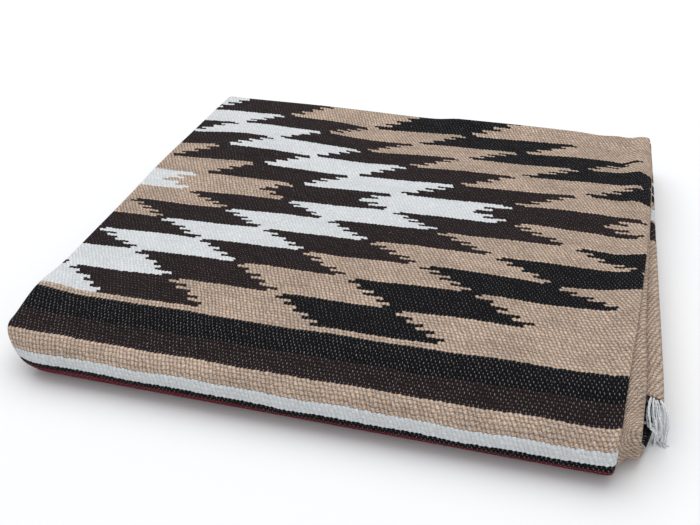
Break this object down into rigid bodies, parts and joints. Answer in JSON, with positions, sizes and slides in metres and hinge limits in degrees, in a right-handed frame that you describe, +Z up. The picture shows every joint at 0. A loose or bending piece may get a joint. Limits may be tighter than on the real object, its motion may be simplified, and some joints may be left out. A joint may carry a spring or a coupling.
{
  "type": "folded kilim blanket",
  "caption": "Handwoven kilim blanket folded into a flat square bundle, with a big soft fold at the front, open rolls at the right and a fringed end tucked inside.",
  "frame": {"origin": "under the middle of the folded bundle, at the level of the surface that it lies on", "axes": "+X along the stripes to the right, where the rolls and the fringed corner show; +Y from the big front fold to the back; +Z up"},
  "size_m": [0.5476, 0.4842, 0.0517],
  "materials": {
    "woven_cloth": "matte",
    "cotton_warp": "matte"
  },
  "bodies": {
    "root": {"blanket_cloth": "woven_cloth", "fringe_upper_end": "cotton_warp", "fringe_lower_end": "cotton_warp"}
  },
  "joints": []
}
